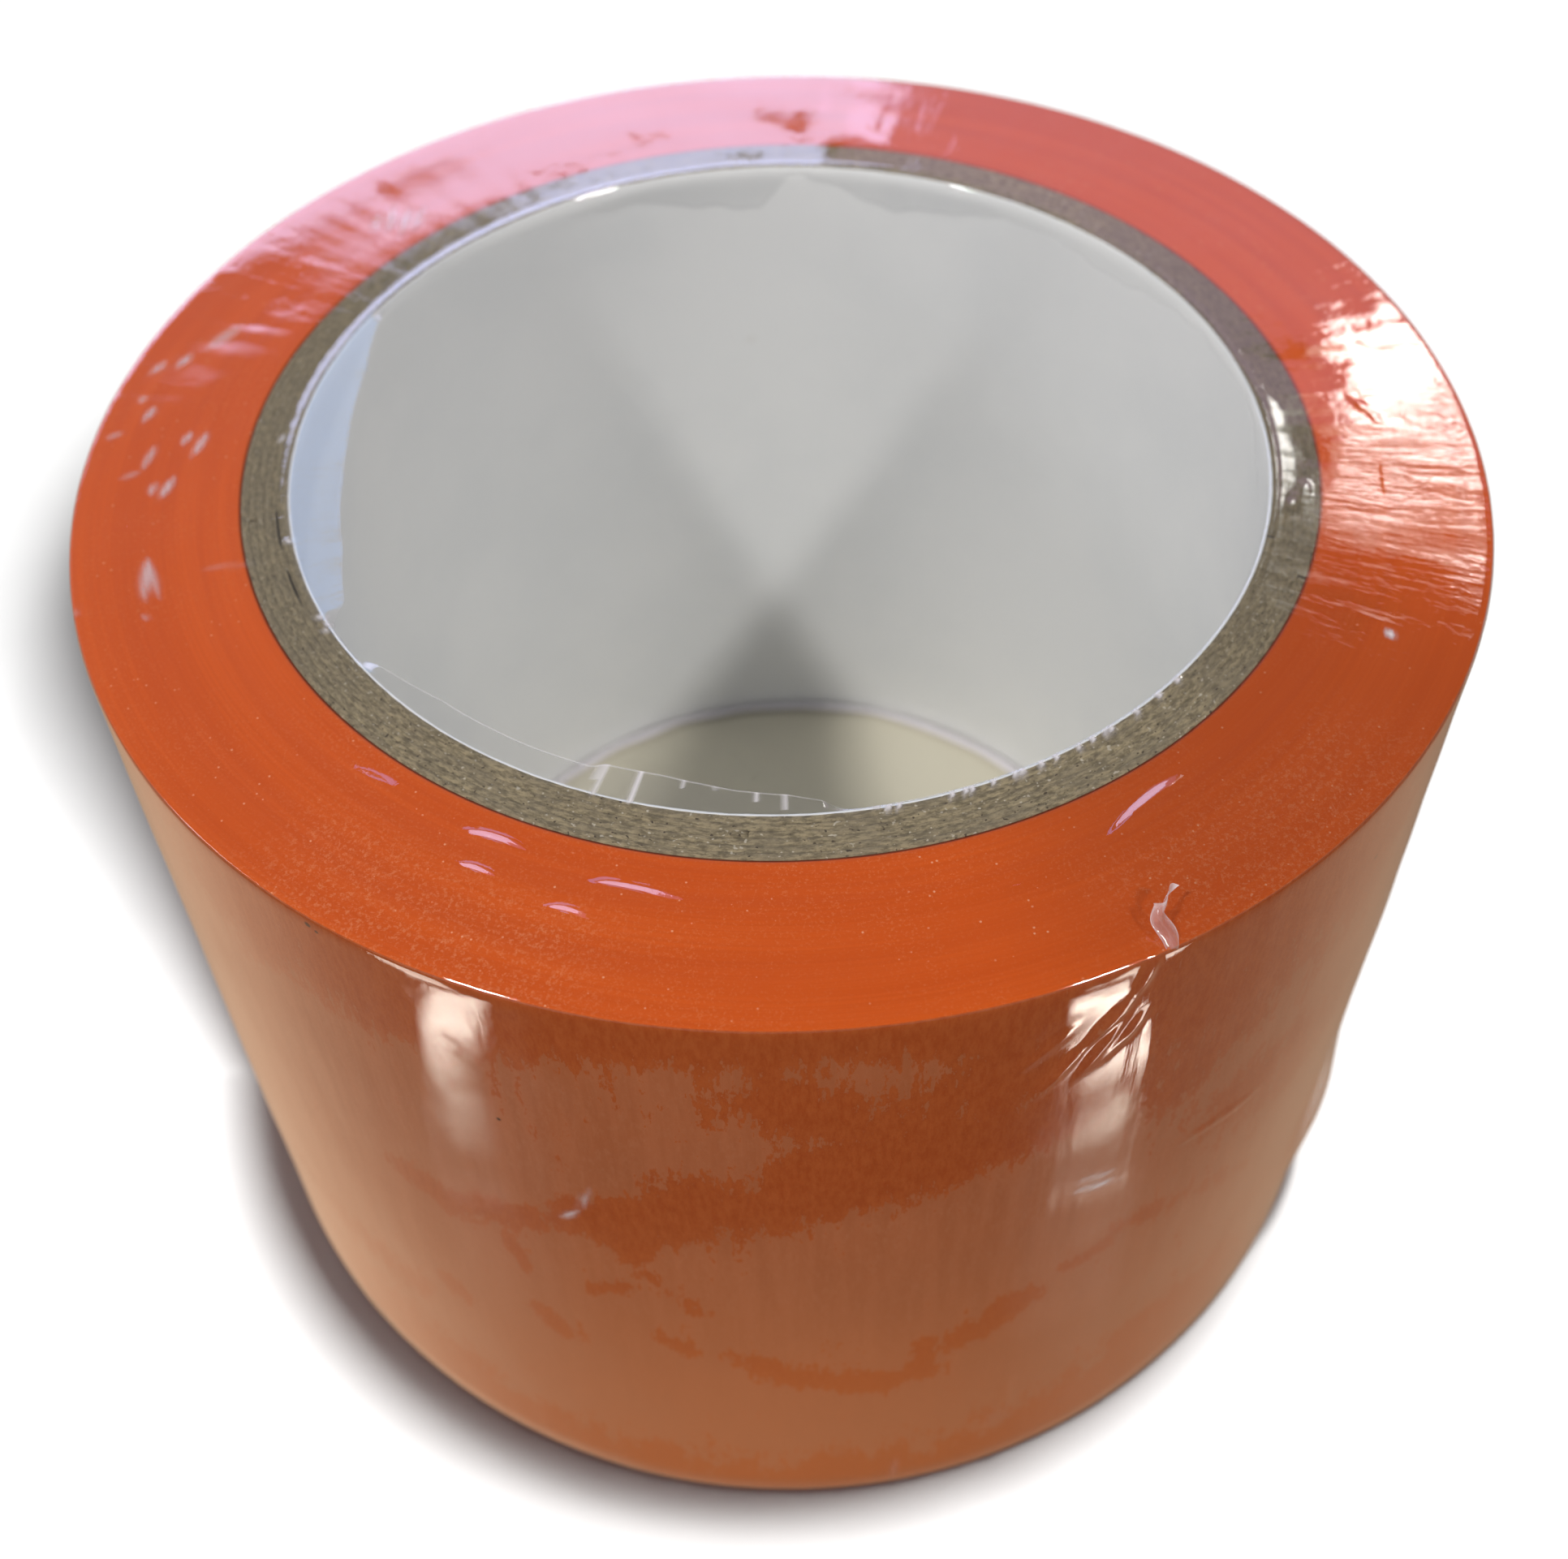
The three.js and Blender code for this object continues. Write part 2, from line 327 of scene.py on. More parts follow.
def orange_tape():
    """Translucent orange vinyl: deep where the layers wet out, milky where air lies under the last turn."""
    n = Nodes("orange_tape")
    radius, height = n.polar()[:2]
    # End faces: faint rings where the layers' edges stand, a fine grain, specks, scuffs at the near left and
    # right, painted shade towards the near right, and a dark joint with painted shade where they meet the
    # core.
    rings = n.noise(n.wound(0.0004, 1.0), scale=5000, detail=2)
    bands = n.noise(n.wound(0.002, 1.0), scale=600, detail=3)
    grain = n.noise(n.stretch(1, 1, 1), scale=5200, detail=3, roughness=0.7)
    haze = n.noise(n.stretch(1, 1, 1), scale=90, detail=4)
    face = n.mix(n.ramp(bands, 0.35, 0.65), (0.61, 0.092, 0.005, 1), (0.66, 0.106, 0.007, 1))
    face = n.mix(n.ramp(rings, 0.35, 0.65, 0, 0.3), face, (0.54, 0.074, 0.003, 1))
    hazy = n.math("MULTIPLY", n.ramp(grain, 0.50, 0.72), n.ramp(haze, 0.35, 0.7, 0.08, 0.34))
    face = n.mix(hazy, face, (0.78, 0.29, 0.11, 1))
    scuffed = n.math("ADD", n.ramp(n.towards(-117), 0.955, 0.99), n.ramp(n.towards(-52), 0.955, 0.99))
    scuffed = n.math("MULTIPLY", scuffed, n.ramp(radius, (CORE + 3) * MM, (CORE + 7) * MM, 0, 0.3))
    flecks = n.noise(n.stretch(1, 1, 1), scale=3600, detail=4, roughness=0.75)
    face = n.mix(n.math("MULTIPLY", scuffed, n.ramp(flecks, 0.50, 0.66)), face, (0.84, 0.40, 0.20, 1))
    dusty = n.ramp(n.noise(n.stretch(1, 1, 1), scale=420, detail=2), 0.50, 0.60, 0, 0.6)
    dots = n.math("MULTIPLY", n.specks(n.stretch(1, 1, 1), 1300, 0.13), dusty)
    face = n.mix(dots, face, (0.90, 0.52, 0.30, 1))
    # Painted shade: duller towards the near right.
    face = n.mix(n.ramp(n.towards(-45), 0.84, 1.0, 0, 0.42), face, (0.20, 0.035, 0.008, 1))
    # Darker at the joint with the core: partly a dark joint, partly painted shade.
    at_core = n.ramp(radius, (CORE + 0.12) * MM, (CORE + 0.3) * MM, 0.75, 0)
    face = n.mix(at_core, face, (0.16, 0.020, 0.002, 1))
    # Outer wall: ragged patches, with vertical drips at their edges.
    fine = n.noise(n.stretch(1, 1, 0.30), scale=2300, detail=5, roughness=0.7)
    drips = n.noise(n.stretch(1, 1, 0.07), scale=900, detail=4, roughness=0.6)
    blots = n.noise(n.stretch(1, 1, 0.75), scale=210, detail=9, roughness=0.78)
    ragged = n.math("ADD", n.math("MULTIPLY", n.math("SUBTRACT", blots, 0.5), 2.2),
                    n.math("MULTIPLY", n.math("SUBTRACT", drips, 0.5), 1.1))
    ragged = n.math("ADD", ragged, n.math("MULTIPLY", n.math("SUBTRACT", fine, 0.5), 1.9))
    wet = n.ramp(n.math("ADD", n.attribute("wet"), ragged), 0.42, 0.54)
    # Painted light: both wall finishes turn lighter near the bottom, as light bounced from the table would
    # make them.
    low = n.ramp(height, 0.0, 0.06, 1, 0)
    milk = n.mix(n.ramp(drips, 0.3, 0.7), (0.42, 0.125, 0.045, 1), (0.47, 0.150, 0.060, 1))
    milk = n.mix(n.ramp(fine, 0.45, 0.75, 0, 0.35), milk, (0.54, 0.22, 0.11, 1))
    milk = n.mix(low, milk, (0.68, 0.25, 0.10, 1))
    deep = n.mix(n.ramp(fine, 0.3, 0.7), (0.39, 0.070, 0.010, 1), (0.46, 0.105, 0.022, 1))
    deep = n.mix(low, deep, (0.68, 0.20, 0.055, 1))
    side = n.mix(wet, milk, deep)
    for azimuth, level, size in DIRT:
        x, y = circle(azimuth)
        spot = n.near((TAPE * x, TAPE * y, level), size)
        side = n.mix(spot, side, (0.06, 0.02, 0.01, 1))
    wall = n.attribute("wall")
    colour = n.mix(wall, face, side)
    relief = n.mix(wall, n.math("ADD", bands, n.math("MULTIPLY", grain, 0.4)), n.math("MULTIPLY", fine, 0.4))
    normal = n.bump(relief, 0.22, 0.0001)
    rough = n.ramp(grain, 0.3, 0.7, 0.42, 0.55)
    shader = n.principled(Base_Color=colour, Roughness=rough, Normal=normal, Specular_IOR_Level=0.16)
    return n.finish(shader)


def clear_film():
    """A thin clear sheet: it reflects as both its faces do, and lets the rest straight through.

    It is whitened where the attribute haze says: in its cut edge, and as painted highlights and sheen on its
    folds, blisters, flap and lower lip."""
    n = Nodes("clear_film")
    geometry = n.add("ShaderNodeNewGeometry")
    facing = n.add("ShaderNodeVectorMath", operation="DOT_PRODUCT")
    n.feed(facing.inputs[0], geometry.outputs["Normal"])
    n.feed(facing.inputs[1], geometry.outputs["Incoming"])
    grazing = n.math("SUBTRACT", 1.0, n.math("ABSOLUTE", facing.outputs["Value"]), clamp=True)
    one_face = n.math("ADD", n.math("MULTIPLY", n.math("POWER", grazing, 5.0), 0.96), 0.04)
    both = n.math("DIVIDE", n.math("MULTIPLY", one_face, 2.0), n.math("ADD", one_face, 1.0))
    radius, height, cosine, sine = n.polar()
    # Fine wrinkles that run across the end faces, as the film pulls in towards the bore.
    over = n.math("MULTIPLY", n.math("ADD", radius, n.math("MULTIPLY", height, 0.3)), 0.16)
    across = n.join(n.math("MULTIPLY", cosine, 0.045), n.math("MULTIPLY", sine, 0.045), over)
    streaks = n.noise(across, scale=1700, detail=3, roughness=0.6)
    patchy = n.ramp(n.noise(n.stretch(1, 1, 1), scale=45, detail=2), 0.42, 0.62, 0.25, 1.0)
    ripple = n.noise(n.stretch(1, 1, 0.6), scale=260, detail=3)
    scuff = n.noise(n.stretch(1, 1, 1), scale=60, detail=4)
    puckered = n.math("MULTIPLY", patchy, n.ramp(n.towards(-9), 0.95, 0.995, 1.0, 3.6))
    relief = n.math("ADD", n.math("MULTIPLY", streaks, puckered), n.math("MULTIPLY", ripple, 1.6))
    glossy = n.add("ShaderNodeBsdfAnisotropic", distribution="BECKMANN")
    n.feed(glossy.inputs["Color"], (1, 1, 1, 1))
    low_wall = n.ramp(height, 54 * MM, 74 * MM, 0.11, 0.06)
    on_wall = n.math("MULTIPLY", n.ramp(radius, (TAPE - 0.5) * MM, TAPE * MM), low_wall)
    n.feed(glossy.inputs["Roughness"], n.math("ADD", on_wall, n.ramp(scuff, 0.4, 0.7, 0.04, 0.13)))
    n.feed(glossy.inputs["Normal"], n.bump(relief, 1.0, 0.000018))
    clear = n.add("ShaderNodeBsdfTransparent")
    sheet = n.add("ShaderNodeMixShader")
    n.feed(sheet.inputs[0], both)
    n.feed(sheet.inputs[1], clear.outputs[0])
    n.feed(sheet.inputs[2], glossy.outputs[0])
    white = n.principled(Base_Color=(0.86, 0.82, 0.87, 1), Roughness=0.25)
    mixed = n.add("ShaderNodeMixShader")
    n.feed(mixed.inputs[0], n.attribute("haze"))
    n.feed(mixed.inputs[1], sheet.outputs[0])
    n.feed(mixed.inputs[2], white)
    return n.finish(mixed.outputs[0])


# Core

def core_ply(name, finish, seed):
    """A core layer: a tube with worn ends and the helical gap where the wound strip's edges meet."""
    inner, outer = radii(name)
    order = PLIES.index(name)
    outer += PLY_SPREAD
    edge = min(0.03, (outer - inner) / 3)
    seam = LINER_SEAM if order == 0 else SEAM_STAGGER * order
    gap = 0.15  # degrees
    edge_share = edge / (TOP - BOTTOM)
    azimuth = np.linspace(gap / 2, 360 - gap / 2, 540)
    worn_top = 0.04 + 0.02 * waves(azimuth, 0 * azimuth, seed, 24, 160, 1)
    worn_bottom = 0.02 + 0.01 * waves(azimuth, 0 * azimuth, seed + 50, 24, 160, 1)
    rise = np.concatenate([[0, edge_share], np.linspace(0.02, 0.98, 37), [1 - edge_share, 1]])
    pull = np.where((rise == 0) | (rise == 1), edge, 0)
    radius = np.concatenate([outer - pull, (inner + pull)[::-1]])
    rise = np.concatenate([rise, rise[::-1]])
    low, high = BOTTOM + worn_bottom[:, None], TOP - worn_top[:, None]
    height = low + (high - low) * rise
    x, y = circle(azimuth[:, None] + seam + 360 * height / PLY_LEAD)
    piece = slit_mesh(name + "_wall", np.stack([radius * x, radius * y, height], axis=-1))
    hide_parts(name)
    return dress(piece, finish)


def slit_mesh(name, points):
    """A closed mesh from points[around, along, xyz] whose profile closes but whose turn doesn't.

    It gets a cap at each end of the turn."""
    turns, steps = points.shape[:2]
    index = np.arange(turns * steps).reshape(turns, steps)
    forward = np.roll(index, -1, axis=1)
    corners = (index[:-1], index[1:], forward[1:], forward[:-1])
    quads = np.stack(corners, axis=-1).reshape(-1, 4).tolist()
    half = steps // 2
    for row in (index[0], index[-1][::-1]):
        for step in range(half - 1):
            quads.append([row[step], row[step + 1], row[steps - 2 - step], row[steps - 1 - step]])
    return mesh_piece(name, points.reshape(-1, 3), quads)


def dress(piece, finish):
    piece.data.materials.append(MATERIALS[finish])
    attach(piece, BODY)
    return piece


def paper_core():
    """Adds every layer of the core and gives back the innermost, the liner."""
    layers = []
    for order, name in enumerate(PLIES):
        layers.append(core_ply(name, "white_paper" if order == 0 else "kraft_board", 10 + order))
    return layers[0]


# Tape

WET_STROKES = [  # (azimuth, height) at both ends, half width in mm, strength
    ((-160, 74.5), (-20, 74.5), 3.2, 1.0),
    ((-134, 68), (-118, 70), 4.6, 0.85),
    ((-120, 70), (-106, 73), 4.2, 0.85),
    ((-84, 75), (-66, 71), 4.0, 0.85),
    ((-90, 66), (-82, 62), 4.2, 0.85),
    ((-77, 66.5), (-64, 62), 4.5, 0.85),
    ((-60, 69), (-50, 66), 8.0, 0.85),
    ((-60, 56), (-56, 60), 3.0, 0.8),
    ((-52, 72), (-42, 66), 6.0, 0.75),
    ((-54, 48), (-42, 44), 5.0, 0.7),
    ((-121.7, 43.6), (-118.6, 42.6), 1.5, 1.0),
    ((-118, 43.2), (-113.4, 44.4), 0.9, 0.85),
    ((-112.8, 44.5), (-107.2, 47.6), 2.0, 0.95),
    ((-104.4, 48.4), (-100, 48.6), 2.4, 1.0),
    ((-103, 44), (-102, 46), 1.6, 0.9),
    ((-100, 51), (-88, 54), 3.2, 1.0),
    ((-89, 55.5), (-80, 58.5), 4.2, 1.0),
    ((-80, 57), (-70, 60), 3.0, 0.9),
    ((-113.2, 40.3), (-112, 36.4), 0.7, 0.9),
    ((-106.4, 36.2), (-103.6, 38.3), 1.0, 0.8),
    ((-102, 41), (-98, 36), 1.0, 0.62),
    ((-111.8, 29.4), (-110.4, 26.6), 1.1, 0.95),
    ((-121.4, 26), (-119.8, 24.4), 1.3, 0.85),
    ((-67.5, 34.6), (-64, 35.2), 1.1, 0.8),
    ((-63.4, 37.6), (-57.4, 36), 1.2, 0.75),
    ((-53.8, 34.4), (-47.8, 30.5), 1.2, 0.7),
    ((-76.4, 28.2), (-73.4, 30.6), 1.9, 1.05),
    ((-73.4, 31), (-71, 31.8), 1.3, 1.0),
    ((-101.8, 30), (-98.6, 28.2), 1.0, 0.75),
    ((-96, 28.2), (-92.6, 26.4), 1.3, 0.85),
    ((-91, 24.5), (-85, 22.5), 1.6, 0.75),
    ((-84, 22.2), (-79.8, 23), 1.7, 0.95),
    ((-80, 24), (-79.9, 28.5), 1.0, 0.85),
    ((-145, 20), (-128, 21), 3.4, 0.75),
    ((-143, 11), (-122, 6), 5.0, 0.85),
    ((-128, 3), (-60, 2), 4.6, 0.95),
    ((-66, 2), (-50, 8), 6.5, 1.1),
    ((-58, 12), (-49, 10), 3.5, 1.0),
]


def far_strokes():
    """Bands and patches on the far side, like those in WET_STROKES."""
    rng = np.random.default_rng(8)
    strokes = []
    for start in (-35, 70, 165):
        strokes.append(((start, 74.5), (start + 105, 74.5), 3.2, 0.85))
        strokes.append(((start, 3), (start + 70, 2), 4.5, 0.8))
    for _ in range(34):
        start, level = rng.uniform(-22, 192), rng.uniform(10, 66)
        length, climb = rng.uniform(2, 12), rng.uniform(-4, 4)
        half_width, strength = rng.uniform(1, 4.5), rng.uniform(0.7, 1)
        strokes.append(((start, level), (start + length, level + climb), half_width, strength))
    return strokes


def wetness(azimuth, height):
    """How far the last turn's adhesive has wetted out: a band at each edge and strokes between."""
    total = 0.10 * waves(azimuth, height, 5, 30, 16, 14)
    for (start, low), (stop, high), half_width, strength in WET_STROKES + far_strokes():
        reach = np.array([(stop - start) * math.radians(TAPE), high - low])
        across = ((azimuth - start + 180) % 360 - 180) * math.radians(TAPE)
        up = height - low
        share = np.clip((across * reach[0] + up * reach[1]) / (reach @ reach), 0, 1)
        distance = np.hypot(across - share * reach[0], up - share * reach[1])
        total = np.maximum(total, strength * np.exp(-0.6 * (distance / half_width) ** 2) + 0.3 * total)
    return total


def tape_profile():
    """Radius, height and which face, from the outer bottom edge up, over the top and back under."""
    rounding = 0.12
    up = np.linspace(BOTTOM + 2 * rounding, TOP - 2 * rounding, 62)
    wall = [(TAPE, height, 1) for height in up]
    inside = CORE + GLUE_LINE
    steps = np.linspace(TAPE - 2 * rounding, inside + 2 * rounding, 44)
    top = [(radius, TOP, 0) for radius in steps]
    bottom = [(radius, BOTTOM, 0) for radius in steps[::-1]]
    upper, _ = fillet((TAPE - rounding, TOP - rounding), rounding, 0, 90, 5)
    lower, _ = fillet((TAPE - rounding, BOTTOM + rounding), rounding, -90, 0, 5)
    bore = [(inside, TOP - rounding, 0), (inside, BOTTOM + rounding, 0)]
    rows = wall + [(r, z, 1) for r, z in upper[:3]] + [(r, z, 0) for r, z in upper[3:]] + top
    rows += bore + bottom + [(r, z, 0) for r, z in lower[:2]] + [(r, z, 1) for r, z in lower[2:]]
    return np.array(rows)


def wound_tape():
    """The web of tape: its outline steps in at the free end, and its end faces have a faint relief."""
    step = 0.03  # degrees to each side of the free end
    azimuth = np.sort(np.append(around(560), [TAPE_END - step, TAPE_END + step]))[:, None]
    profile = tape_profile()
    radius, height, wall = profile.T
    turn = ((azimuth - TAPE_END) % 360) / 360
    outer_share = np.clip((radius - CORE) / (TAPE - CORE), 0, 1)
    spread = radius - TAPE_THICKNESS * turn * outer_share
    relief = 0.012 * waves(azimuth * 0, radius, 21, 30, 0, 0.5) + 0.015 * waves(azimuth, radius, 22, 10, 3, 4)
    level = np.where((wall == 0) & (height > TOP - 0.05), height + relief - 0.03, height + 0 * azimuth)
    level = np.where((wall == 0) & (height < BOTTOM + 0.05), height - relief + 0.03, level)
    x, y = circle(azimuth)
    points = np.stack([spread * x, spread * y, level], axis=-1)
    piece = ring_mesh("wound_tape_web", points, closed=True)
    point_value(piece, "wall", np.broadcast_to(wall, level.shape))
    point_value(piece, "wet", wetness(azimuth, level))
    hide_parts("wound_tape")
    return dress(piece, "orange_tape")


# Film

def film_profile():
    """Points (radius, height), outward normals and zones of the sleeve, from the lower lip to the upper."""
    inner, outer = BORE - SLACK, TAPE + SLACK
    low, high = BOTTOM - SLACK, TOP + SLACK
    turn = 0.35  # radius of the outer rims
    bead = 0.42  # radius of the rounded rim of the bore
    bead_centre = (inner + 0.3, high - 0.3)
    near_bore = inner + 2.4  # closer rings from here inwards
    bead_foot = inner + 0.85  # where the film starts to rise to the rounded rim
    folds_low, folds_high = 44, 50  # closer rings from here to here, where the wall has small folds
    ear_folds = 58  # and above this, where folds run down from the ear
    parts = []

    def straight(start, stop, normal, steps, zone):
        line = np.linspace(start, stop, steps + 2)[1:-1]
        parts.append((line, np.broadcast_to(normal, line.shape), zone))

    def corner(centre, radius, start, stop, steps, zone):
        parts.append((*fillet(centre, radius, start, stop, steps), zone))

    straight((inner, low + LIP), (inner, low + turn), (-1, 0), 5, "lower_lip")
    corner((inner + turn, low + turn), turn, -180, -90, 4, "bottom")
    straight((inner + turn, low), (outer - turn, low), (0, -1), 3, "bottom")
    corner((outer - turn, low + turn), turn, -90, 0, 4, "wall")
    straight((outer, low + turn), (outer, folds_low), (1, 0), 14, "wall")
    straight((outer, folds_low), (outer, folds_high), (1, 0), 12, "wall")
    straight((outer, folds_high), (outer, ear_folds), (1, 0), 6, "wall")
    straight((outer, ear_folds), (outer, high - turn), (1, 0), 30, "wall")
    corner((outer - turn, high - turn), turn, 0, 90, 6, "top")
    straight((outer - turn, high), (near_bore, high), (0, 1), 42, "top")
    straight((near_bore, high), (bead_foot, high), (0, 1), 6, "top")
    straight((bead_foot, high), (inner + FLAP_ROOT, high + 0.11), (0, 1), 2, "top")
    corner(bead_centre, bead, 80, 180, 7, "bead")
    straight((bead_centre[0] - bead, bead_centre[1]), (inner, high - LIP), (-1, 0), 9, "upper_lip")
    points = np.concatenate([part[0] for part in parts])
    normals = np.concatenate([part[1] for part in parts])
    zones = np.concatenate([[part[2]] * len(part[0]) for part in parts])
    return points, normals, zones


def on_top(azimuth, radius):
    x, y = circle(azimuth)
    return np.array([radius * x, radius * y, TOP + SLACK])


def on_wall(azimuth, height):
    x, y = circle(azimuth)
    return np.array([(TAPE + SLACK) * x, (TAPE + SLACK) * y, height])


def crease(points, start, stop, width, height):
    """Height of a ridge from start to stop, over points[..., xyz], lens-shaped and of that half width."""
    line = stop - start
    share = np.clip(((points - start) @ line) / (line @ line), 0, 1)
    distance = np.linalg.norm(points - (start + share[..., None] * line), axis=-1)
    taper = np.sin(math.pi * np.clip(share, 0.04, 0.96)) ** 0.5
    return height * taper * np.exp(-((distance / (width * np.maximum(taper, 0.4))) ** 2))


TOP_CREASES = [  # (azimuth, radius) at both ends, half width, height
    ((-131.7, 44.6), (-125.8, 43.7), 0.36, 0.14),
    ((-118.2, 44.4), (-112.2, 44.3), 0.52, 0.28),
    ((-117.0, 46.8), (-113.0, 47.0), 0.46, 0.25),
    ((-108.8, 47.7), (-104.8, 48.1), 0.46, 0.25),
    ((-106.4, 45.1), (-97.5, 45.8), 0.42, 0.24),
    ((-63.6, 45.8), (-54.5, 44.3), 0.60, 0.34),
    ((-74.2, 46.6), (-71.4, 46.9), 0.36, 0.12),
    ((3.8, 45.8), (0.6, 46.8), 0.24, 0.035),
    ((1.6, 46.9), (-1.0, 47.3), 0.22, 0.035),
    ((1.2, 49.4), (-0.8, 49.9), 0.22, 0.025),
    ((-10.0, 40.9), (-14.5, 40.2), 0.28, 0.14),
    ((-13.0, 39.9), (-16.0, 39.4), 0.24, 0.10),
]

WALL_CREASES = [  # (azimuth, height) at both ends, half width, height
    ((-66.0, 75.2), (-67.1, 71.5), 0.40, 0.30),
    ((-67.1, 71.5), (-70.2, 67.8), 0.42, 0.34),
    ((-70.2, 67.8), (-73.8, 63.1), 0.40, 0.24),
    ((-67.2, 69.7), (-70.6, 63.9), 0.36, 0.22),
    ((-66.0, 68.8), (-69.4, 64.4), 0.34, 0.16),
    ((-65.6, 69.8), (-67.4, 66.0), 0.34, 0.14),
    ((-71.0, 70.6), (-75.4, 66.6), 0.34, 0.10),
    ((-60.4, 47.0), (-50.7, 46.2), 0.40, 0.12),
    ((-65.1, 68.3), (-64.7, 59.1), 0.30, 0.10),
    ((-86.6, 5.5), (-83.6, 3.2), 0.40, 0.20),
    ((-74.0, 13.4), (-70.5, 11.4), 0.40, 0.20),
    ((-34.0, 24.0), (-24.0, 8.0), 6.00, 0.80),
]

TOP_GLINTS = [  # painted glints, whitened streaks on folds: (azimuth, radius) at both ends, half width, strength
    ((179.8, 47.2), (177.6, 46.7), 0.28, 0.45),
    ((-178.4, 46.1), (177.6, 45.4), 0.30, 0.50),
    ((-173.3, 48.8), (-175.2, 48.5), 0.26, 0.40),
    ((-172.7, 48.0), (-175.8, 47.1), 0.30, 0.55),
    ((178.8, 53.4), (177.7, 52.3), 0.25, 0.30),
    ((-175.9, 51.3), (-176.9, 49.8), 0.25, 0.25),
    ((-176.9, 49.8), (179.4, 49.2), 0.28, 0.38),
    ((176.4, 51.0), (174.0, 50.5), 0.30, 0.45),
    ((173.9, 52.1), (172.6, 51.7), 0.28, 0.35),
    ((169.8, 52.5), (167.6, 51.8), 0.32, 0.40),
    ((168.5, 50.7), (166.1, 50.1), 0.34, 0.45),
    ((165.3, 49.2), (160.7, 47.9), 0.60, 0.32),
    ((-159.6, 49.5), (-165.0, 48.8), 0.36, 0.42),
    ((-165.0, 48.8), (-159.6, 48.4), 0.30, 0.32),
    ((-160.9, 54.4), (-160.6, 54.0), 0.30, 0.40),
    ((-157.5, 49.9), (-157.7, 49.4), 0.25, 0.30),
    ((-162.2, 45.7), (-161.0, 41.1), 0.25, 0.10),
    ((179.8, 39.5), (177.9, 39.2), 0.20, 0.50),
    ((138.3, 47.9), (140.8, 46.1), 0.42, 0.30),
    ((136.3, 47.7), (139.9, 45.1), 0.42, 0.34),
    ((135.2, 46.6), (139.5, 43.8), 0.42, 0.34),
    ((134.1, 45.7), (138.1, 43.4), 0.42, 0.30),
    ((-28.4, 48.4), (-29.2, 48.9), 0.30, 0.90),
]

WALL_GLINTS = [  # painted glints on the wall's folds, the same as above, with heights for radii
    ((-68.9, 47.3), (-64.8, 46.4), 0.30, 0.60),
    ((-68.7, 48.7), (-65.2, 47.9), 0.26, 0.40),
    ((-107.8, 47.4), (-106.4, 49.2), 0.26, 0.50),
    ((-106.4, 49.2), (-105.2, 52.5), 0.26, 0.30),
    ((-84.8, 0.8), (-81.6, 3.4), 0.35, 0.35),
    ((-73.6, 9.0), (-69.5, 8.0), 0.35, 0.20),
]

RIM_BEADS = [  # azimuths of small blisters on the bore's rim, each also given a painted glint
    -80.4, -79.3, -73.9, -72.5, -71.8, -69.5, -67.1, -66.3, -64.2, -62.4,
    -59.6, -57.9, -56.2, -55.4, -52.0, -48.6, -45.5, -163.0, -150.2, -147.6,
]

LIP_DEPTHS = [  # azimuth, how far the film's upper lip reaches down the bore
    (-180, 1.3), (-150, 1.2), (-128, 1.1), (-108, 1.2), (-101, 1.2), (-90, 1.1), (-75, 1.0), (-60, 1.0),
    (0, 1.0), (30, 2.0), (38, 3.4), (48, 2.2), (56, 2.1), (66, 3.6), (73, 4.2), (80, 2.4), (86, 0.9),
    (88, 0.8), (92, 5.2), (101, 3.8), (110, 2.4), (117, 1.8), (130, 1.4), (150, 1.2), (180, 1.3),
]

FLAP_REACHES = [  # azimuth, how far the lip stands out flat into the bore instead of turning down
    (-180, 3.9), (-173, 3.9), (-160, 3.2), (-151, 1.7), (-148.5, 0.1), (-145, 0.1), (-137, 1.1), (-130, 1.75),
    (-111, 1.85), (-109.7, 2.35), (-103, 2.35), (-99, 2.1), (-95.4, 1.7), (-90, 1.4), (-86, 0.7), (-81, 0),
    (150, 0), (158, 1.5), (164, 2.8), (172.6, 3.5), (180, 3.9),
]

FLAP_FOLD_GLINTS = [  # painted highlights along the flap's folds: azimuth, half width in degrees, share of the flap from which it shows, strength
    (-109.6, 0.22, 0.0, 0.7), (-110.1, 0.40, 0.5, 0.4), (-105.7, 0.25, 0.0, 0.8), (-101.0, 0.20, 0.75, 0.5),
    (-97.5, 0.20, 0.85, 0.4), (-93.2, 0.25, 0.6, 0.6), (-90.3, 0.25, 0.3, 0.6), (-81.2, 0.40, 0.0, 0.7),
    (-148.6, 0.40, 0.0, 0.6),
]


def rim_bead(azimuth):
    return on_top(azimuth, BORE + 0.3), on_top(azimuth + 0.3, BORE + 0.55)


def painted_glints(points):
    """Painted glints: how white the film is on its folds and its rim's blisters, where they would catch the
    light.
    """
    glint_marks = [(on_top(*start), on_top(*stop), width, rise) for start, stop, width, rise in TOP_GLINTS]
    glint_marks += [(on_wall(*start), on_wall(*stop), width, rise) for start, stop, width, rise in WALL_GLINTS]
    glint_marks += [(*rim_bead(azimuth), 0.26, 1.1) for azimuth in RIM_BEADS]
    return sum(crease(points, *mark) for mark in glint_marks)


